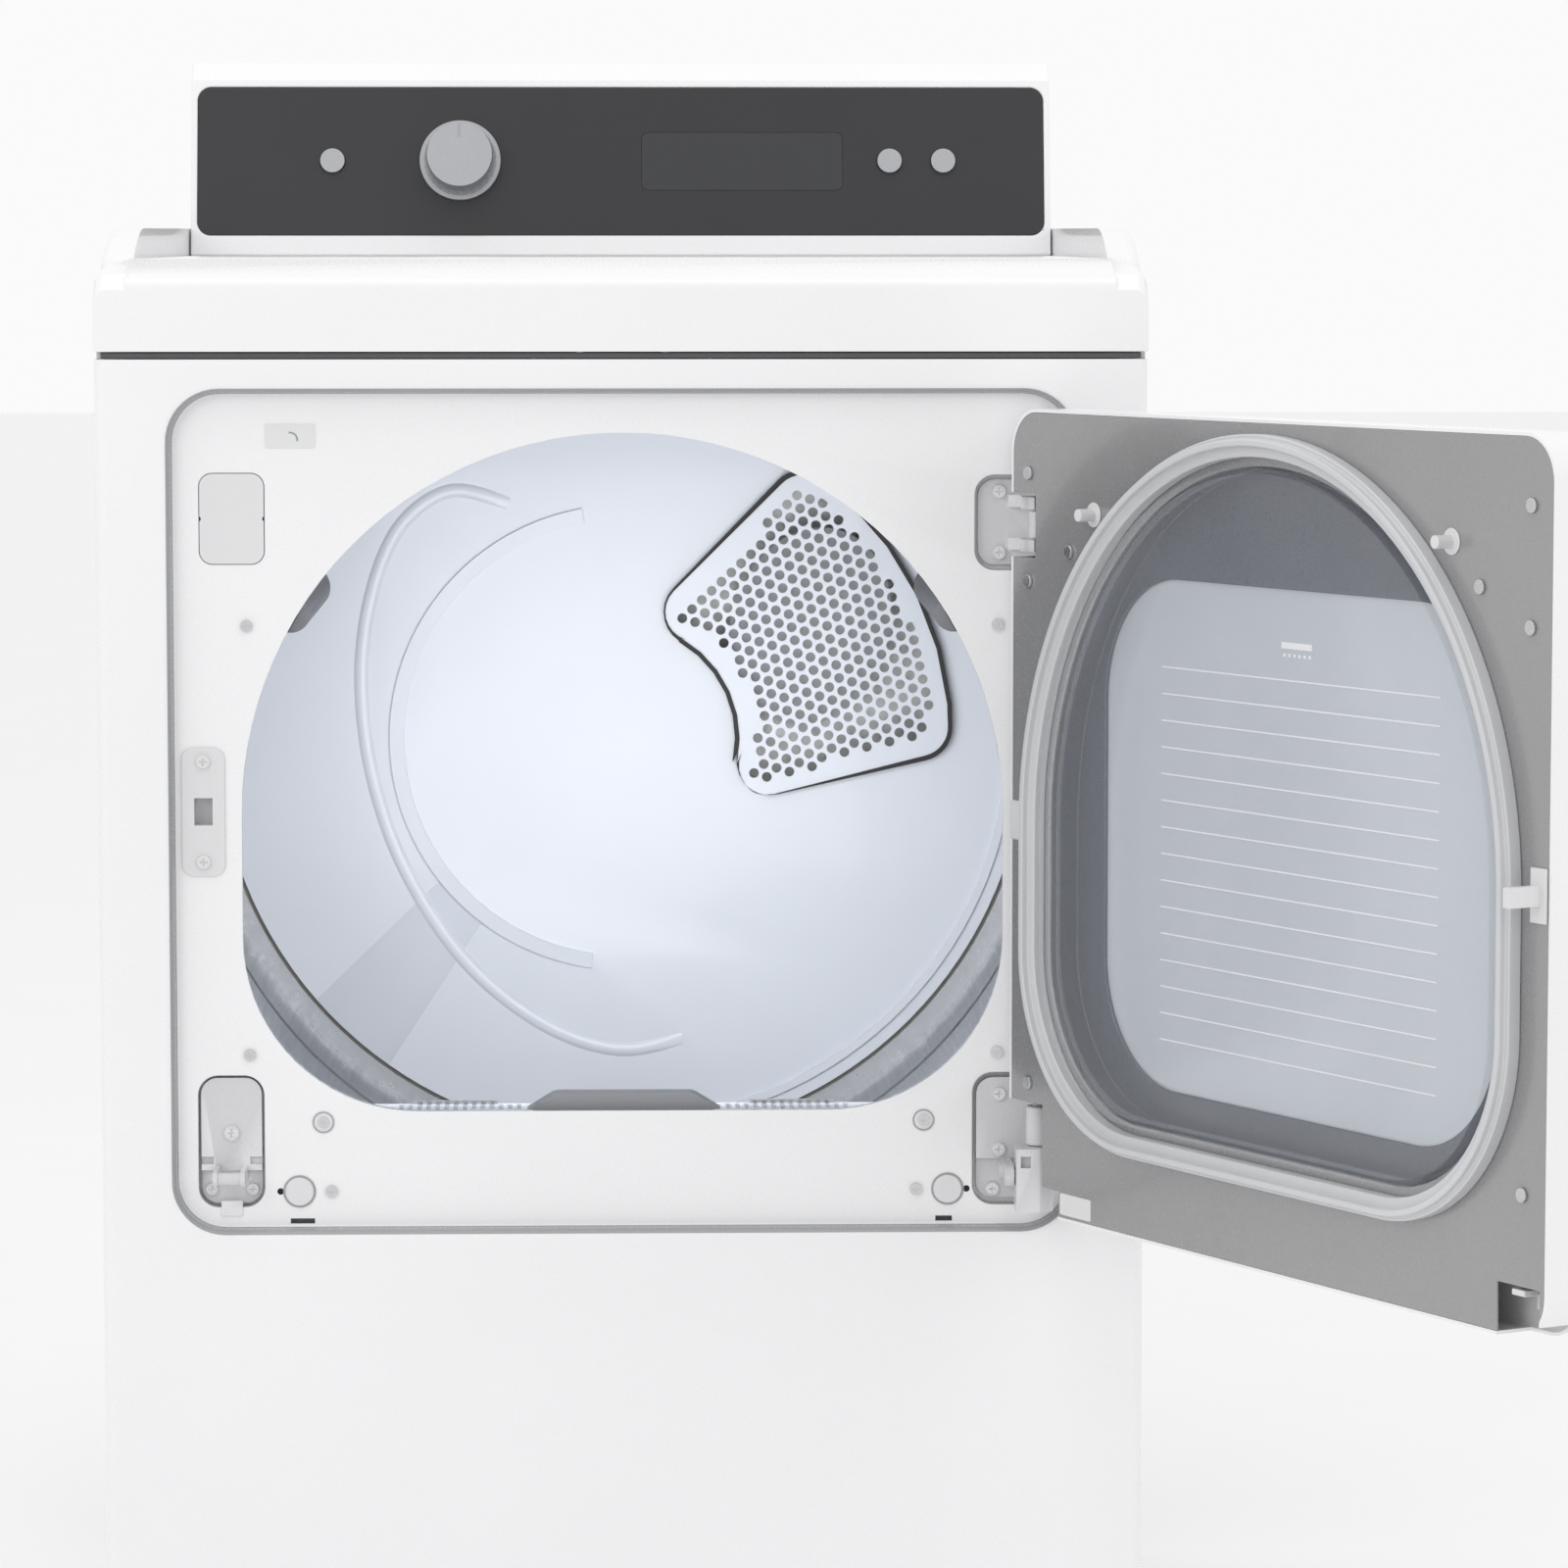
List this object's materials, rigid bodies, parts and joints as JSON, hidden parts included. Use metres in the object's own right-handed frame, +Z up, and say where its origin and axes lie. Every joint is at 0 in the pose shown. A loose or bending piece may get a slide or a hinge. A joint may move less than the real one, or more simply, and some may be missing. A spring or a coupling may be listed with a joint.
{
  "type": "tumble dryer",
  "caption": "White full-size vented tumble dryer with a rear console and a side-or-down opening windowed door.",
  "frame": {"origin": "on the floor, midway across, in the plane of the cabinet's front face", "axes": "+X to the right as seen from the front, +Y from the front to the back, +Z up"},
  "size_m": [0.8973, 1.2439, 1.156],
  "materials": {
    "white_enamel": "gloss",
    "galvanised": "satin",
    "dark_plastic": "satin",
    "lens": "gloss",
    "board": "matte",
    "pale_enamel": "gloss",
    "grey_plastic": "satin",
    "black_rubber": "matte",
    "felt": "matte",
    "light_plastic": "satin",
    "hinge_metal": "satin",
    "screw_steel": "gloss",
    "heater_wire": "matte",
    "ceramic": "matte",
    "motor_steel": "satin",
    "drum_steel": "satin",
    "pale_plastic": "satin",
    "roller_rubber": "matte",
    "control_metal": "satin",
    "window": "gloss",
    "liner": "gloss",
    "frame_dark": "satin",
    "seal": "matte"
  },
  "bodies": {
    "cabinet": {"side_panel_left": "white_enamel", "side_panel_right": "white_enamel", "rear_panel": "galvanised", "front_panel": "white_enamel", "base_pan": "galvanised", "top_cover": "white_enamel", "leveling_feet": "dark_plastic", "console_housing": "white_enamel", "console_fascia": "dark_plastic", "display_lens": "lens", "control_board": "board", "front_bulkhead": "pale_enamel", "lint_duct": "grey_plastic", "rear_bulkhead": "pale_enamel", "vent_grille": "pale_enamel", "grille_gasket": "black_rubber", "drum_felts": "felt", "strike_plate": "light_plastic", "cover_plate": "light_plastic", "hook_bracket": "hinge_metal", "lower_bracket": "hinge_metal", "hinge_receiver": "hinge_metal", "door_bumpers": "light_plastic", "panel_screws": "screw_steel", "heater_duct": "galvanised", "heater_coil": "heater_wire", "terminal_block": "ceramic", "terminal_cover": "galvanised", "exhaust_pipe": "galvanised", "blower_housing": "dark_plastic", "motor": "motor_steel", "motor_mount": "galvanised", "roller_shafts": "screw_steel", "drum_belt": "black_rubber", "moisture_bars": "screw_steel", "idler_spring": "screw_steel"},
    "drum_body": {"drum": "drum_steel", "drum_lifters": "dark_plastic"},
    "motor_rotor": {"motor_pulley": "screw_steel", "blower_wheel": "pale_plastic"},
    "idler_lever": {"idler_arm": "screw_steel"},
    "idler_wheel": {"idler_pulley": "pale_plastic"},
    "roller_fl": {"front_roller_left": "roller_rubber"},
    "roller_fr": {"front_roller_right": "roller_rubber"},
    "roller_rl": {"rear_roller_left": "roller_rubber"},
    "roller_rr": {"rear_roller_right": "roller_rubber"},
    "filter": {"lint_filter": "grey_plastic"},
    "knob": {"selector_knob": "control_metal"},
    "button_power": {"power_button": "control_metal"},
    "button_start": {"start_button": "control_metal"},
    "button_option": {"option_button": "control_metal"},
    "door_carrier": {"hinge_knuckle": "hinge_metal"},
    "door": {"door_outer_panel": "white_enamel", "window_glass": "window", "window_frame": "frame_dark", "door_inner_panel": "grey_plastic", "liner_glass": "liner", "door_gasket": "seal", "door_hinge_leaf": "hinge_metal", "door_fittings": "light_plastic"}
  },
  "joints": [
    {"name": "drum_spin", "type": "hinge", "parent": "cabinet", "child": "drum_body", "pos_m": [0, 0.32, 0.649], "axis": [0, 1, 0], "continuous": true},
    {"name": "motor_spin", "type": "hinge", "parent": "cabinet", "child": "motor_rotor", "pos_m": [0.11, 0.25, 0.135], "axis": [0, 1, 0], "continuous": true},
    {"name": "idler_swing", "type": "hinge", "parent": "cabinet", "child": "idler_lever", "pos_m": [0.066, 0.36, 0.118], "axis": [0, 1, 0], "range_deg": [-14, 0], "stiffness_Nm_per_rad": 2, "springref_deg": 20.05, "deforming": ["idler_spring"]},
    {"name": "idler_spin", "type": "hinge", "parent": "idler_lever", "child": "idler_wheel", "pos_m": [0.02198, 0.35, 0.17425], "axis": [0, 1, 0], "continuous": true},
    {"name": "roller_fl_spin", "type": "hinge", "parent": "cabinet", "child": "roller_fl", "pos_m": [-0.18192, 0.069, 0.35787], "axis": [0, 1, 0], "continuous": true},
    {"name": "roller_fr_spin", "type": "hinge", "parent": "cabinet", "child": "roller_fr", "pos_m": [0.18192, 0.069, 0.35787], "axis": [0, 1, 0], "continuous": true},
    {"name": "roller_rl_spin", "type": "hinge", "parent": "cabinet", "child": "roller_rl", "pos_m": [-0.18192, 0.568, 0.35787], "axis": [0, 1, 0], "continuous": true},
    {"name": "roller_rr_spin", "type": "hinge", "parent": "cabinet", "child": "roller_rr", "pos_m": [0.18192, 0.568, 0.35787], "axis": [0, 1, 0], "continuous": true},
    {"name": "filter_lift", "type": "slide", "parent": "cabinet", "child": "filter", "axis": [0, 0, 1], "range_m": [0, 0.22]},
    {"name": "knob_turn", "type": "hinge", "parent": "cabinet", "child": "knob", "pos_m": [-0.12, 0.57573, 1.082], "axis": [0, -0.9781, 0.2079], "continuous": true},
    {"name": "power_press", "type": "slide", "parent": "cabinet", "child": "button_power", "axis": [0, 0.9781, -0.2079], "range_m": [0, 0.002], "stiffness_N_per_m": 600, "springref_m": -0.002},
    {"name": "start_press", "type": "slide", "parent": "cabinet", "child": "button_start", "axis": [0, 0.9781, -0.2079], "range_m": [0, 0.002], "stiffness_N_per_m": 600, "springref_m": -0.002},
    {"name": "option_press", "type": "slide", "parent": "cabinet", "child": "button_option", "axis": [0, 0.9781, -0.2079], "range_m": [0, 0.002], "stiffness_N_per_m": 600, "springref_m": -0.002},
    {"name": "door_tilt", "type": "hinge", "parent": "cabinet", "child": "door_carrier", "pos_m": [0.265, -0.016, 0.412], "axis": [1, 0, 0], "range_deg": [0, 78]},
    {"name": "door_swing", "type": "hinge", "parent": "door_carrier", "child": "door", "pos_m": [0.272, -0.016, 0.65], "axis": [0, 0, 1], "range_deg": [-119, 11]}
  ],
  "couplings": [
    {"joint": "motor_spin", "follows": "drum_spin", "ratio": 27.534},
    {"joint": "idler_spin", "follows": "drum_spin", "ratio": -19.691},
    {"joint": "roller_fl_spin", "follows": "drum_spin", "ratio": -16.15},
    {"joint": "roller_fr_spin", "follows": "drum_spin", "ratio": -16.15},
    {"joint": "roller_rl_spin", "follows": "drum_spin", "ratio": -16.15},
    {"joint": "roller_rr_spin", "follows": "drum_spin", "ratio": -16.15}
  ]
}
